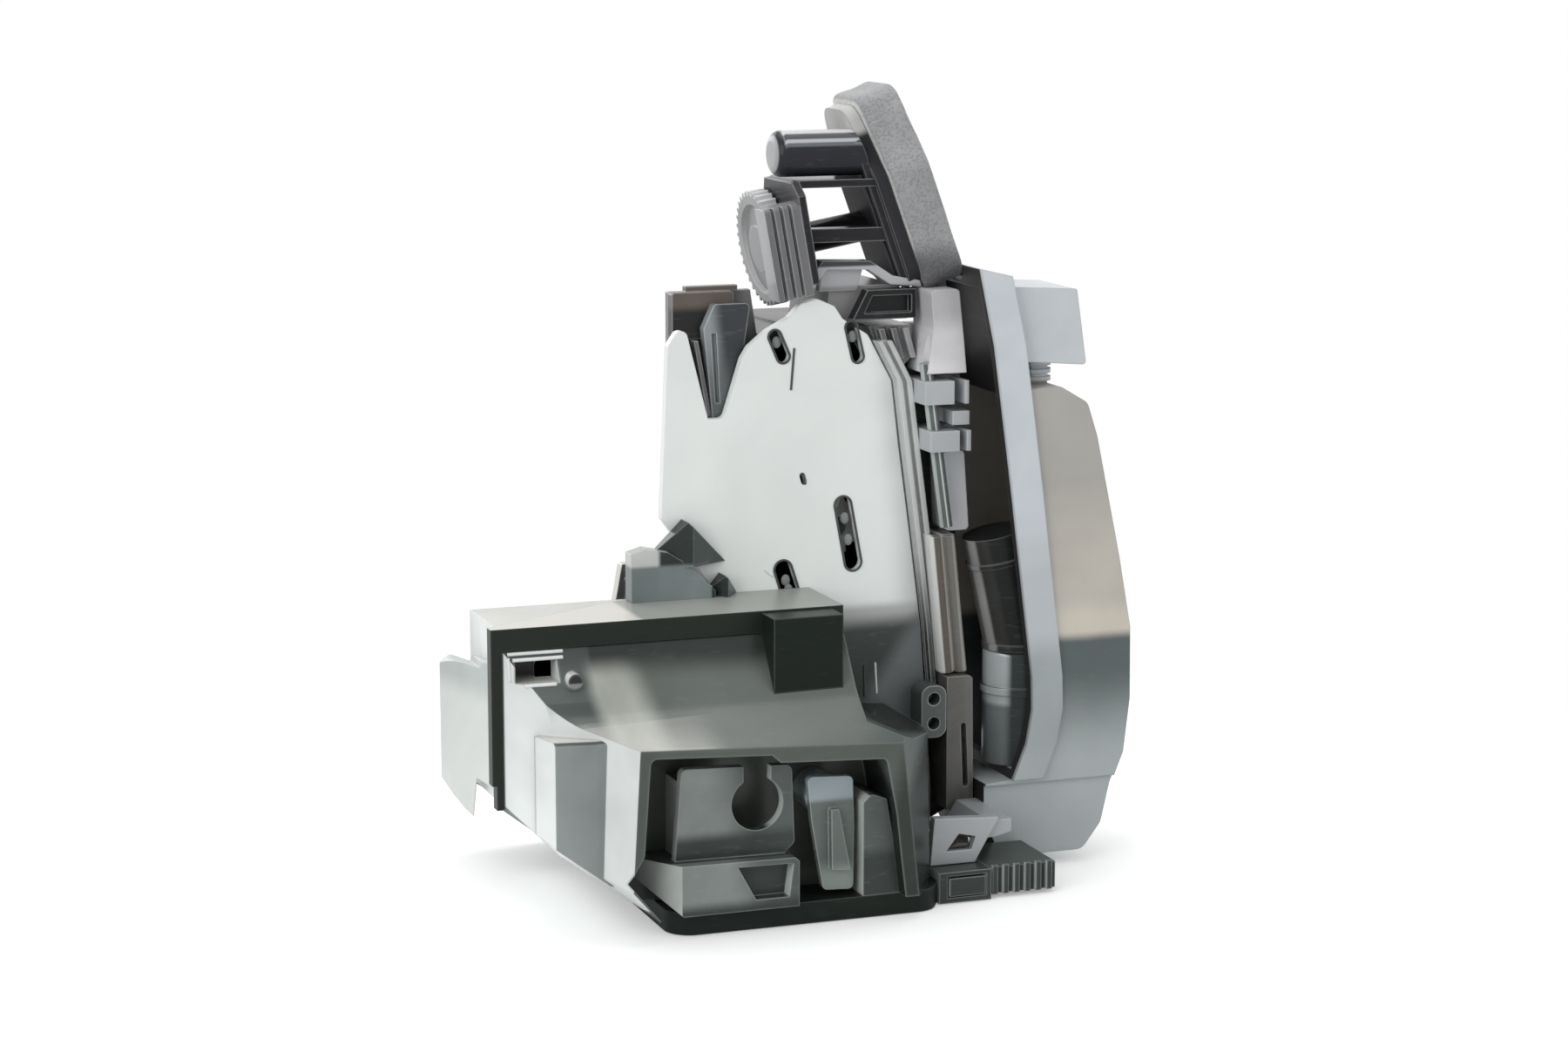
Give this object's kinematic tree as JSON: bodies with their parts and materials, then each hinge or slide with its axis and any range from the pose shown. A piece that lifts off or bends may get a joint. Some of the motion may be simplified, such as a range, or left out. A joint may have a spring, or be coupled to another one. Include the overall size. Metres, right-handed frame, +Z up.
{
  "type": "door latch actuator",
  "caption": "L-shaped car door latch with lock drive: steel shut face, fork and pawl, moulded case, key coupling with foam seal and a side tub.",
  "frame": {"origin": "point on the steel shut face, 2 mm above the striker mouth", "axes": "+Y out of the shut face towards the striker pillar, +X outboard towards the door skin, +Z up along the door edge"},
  "size_m": [0.1587, 0.092, 0.1841],
  "materials": {
    "zinc_steel": "zinc steel",
    "black_plastic": "black plastic",
    "claw_coat": "claw coat",
    "pin_steel": "pin steel",
    "spring_steel": "spring steel",
    "bumper_rubber": "bumper rubber",
    "pale_shell": "pale shell",
    "black_gloss": "black gloss",
    "cover_sheen": "cover sheen",
    "cover_edge": "cover edge",
    "flange_black": "flange black",
    "bracket_grey": "bracket grey",
    "lever_grey": "lever grey",
    "foot_black": "foot black",
    "foam_grey": "foam grey",
    "disc_grey": "disc grey",
    "disc_light": "disc light",
    "case_light": "case light",
    "clip_light": "clip light",
    "rod_steel": "rod steel",
    "tub_grey": "tub grey",
    "rim_grey": "rim grey",
    "motor_can": "motor can",
    "gear_white": "gear white"
  },
  "bodies": {
    "housing": {"faceplate": "zinc_steel", "latch_body": "black_plastic", "back_plate": "zinc_steel", "claw_pin": "pin_steel", "pawl_pin": "pin_steel", "claw_spring": "spring_steel", "pawl_spring": "spring_steel", "mouth_bumper": "bumper_rubber", "mouth_guard": "pale_shell", "main_case": "black_gloss", "main_cover": "cover_sheen", "cover_rail": "cover_edge", "ear_screws": "pin_steel", "latch_box": "black_gloss", "shield_flange": "flange_black", "roof_block": "flange_black", "gusset_block": "flange_black", "cable_bracket": "bracket_grey", "lever_pin": "pin_steel", "lever_guard": "bracket_grey", "base_pad": "foot_black", "upper_bracket": "black_gloss", "upper_bar": "black_gloss", "upper_tongue": "lever_grey", "foam_gasket": "foam_grey", "coupling_flange": "black_gloss", "coupling_frame": "black_gloss", "guide_pin": "black_gloss", "disc_cover": "disc_grey", "top_housing": "case_light", "clip_frame": "case_light", "shoulder_fins": "black_gloss", "side_channel": "black_gloss", "case_rails": "black_gloss", "channel_head": "case_light", "rod_clips": "clip_light", "side_panel": "clip_light", "lower_column": "black_gloss", "screw_boss": "bracket_grey", "side_tub": "tub_grey", "tub_rim": "rim_grey", "connector_box": "tub_grey", "cable_neck": "tub_grey", "deadlock_motor": "motor_can", "motor_gearhead": "black_plastic", "snap_bracket": "clip_light", "connector_block": "bracket_grey", "connector_button": "bracket_grey", "lock_motor": "motor_can", "worm_shaft": "pin_steel", "gear_pin": "pin_steel", "lock_lever_pin": "pin_steel"},
    "claw": {"claw": "claw_coat"},
    "pawl": {"pawl": "zinc_steel"},
    "release_lever": {"inside_release_lever": "lever_grey"},
    "rod": {"link_rod": "rod_steel"},
    "key": {"key_coupling": "disc_light"},
    "drive_worm": {"worm": "gear_white"},
    "drive_gear": {"worm_gear": "gear_white"},
    "lock": {"lock_lever": "black_plastic"}
  },
  "joints": [
    {"name": "claw_turn", "type": "hinge", "parent": "housing", "child": "claw", "pos_m": [0.02, -0.009, 0.0105], "axis": [0, -1, 0], "range_deg": [0, 55], "stiffness_Nm_per_rad": 0.02, "springref_deg": -17.19},
    {"name": "pawl_lift", "type": "hinge", "parent": "housing", "child": "pawl", "pos_m": [0.056, -0.009, 0.0015], "axis": [0, -1, 0], "range_deg": [0, 12]},
    {"name": "release_lever_turn", "type": "hinge", "parent": "housing", "child": "release_lever", "pos_m": [0.0315, -0.084, -0.0082], "axis": [0, 1, 0], "range_deg": [0, 14], "stiffness_Nm_per_rad": 0.02, "springref_deg": -11.46},
    {"name": "rod_slide", "type": "slide", "parent": "housing", "child": "rod", "axis": [-0.1392, 0, 0.9903], "range_m": [0, 0.006]},
    {"name": "key_turn", "type": "hinge", "parent": "housing", "child": "key", "pos_m": [0.0366, -0.0305, 0.1095], "axis": [0.9848, 0, 0.1736], "range_deg": [-75, 75]},
    {"name": "gear_turn", "type": "hinge", "parent": "housing", "child": "drive_gear", "pos_m": [0.046, -0.0385, 0.052], "axis": [0, 1, 0], "range_deg": [0, 60]},
    {"name": "worm_spin", "type": "hinge", "parent": "housing", "child": "drive_worm", "pos_m": [0.0264, -0.038, 0.048], "axis": [0, 0, 1], "range_deg": [0, 1320]},
    {"name": "lock_lever_turn", "type": "hinge", "parent": "housing", "child": "lock", "pos_m": [0.0505, -0.033, 0.012], "axis": [0, 1, 0], "range_deg": [0, 18]}
  ],
  "couplings": [
    {"joint": "pawl_lift", "follows": "release_lever_turn", "ratio": 0.857},
    {"joint": "worm_spin", "follows": "gear_turn", "ratio": 22},
    {"joint": "lock_lever_turn", "follows": "gear_turn", "ratio": 0.3}
  ]
}
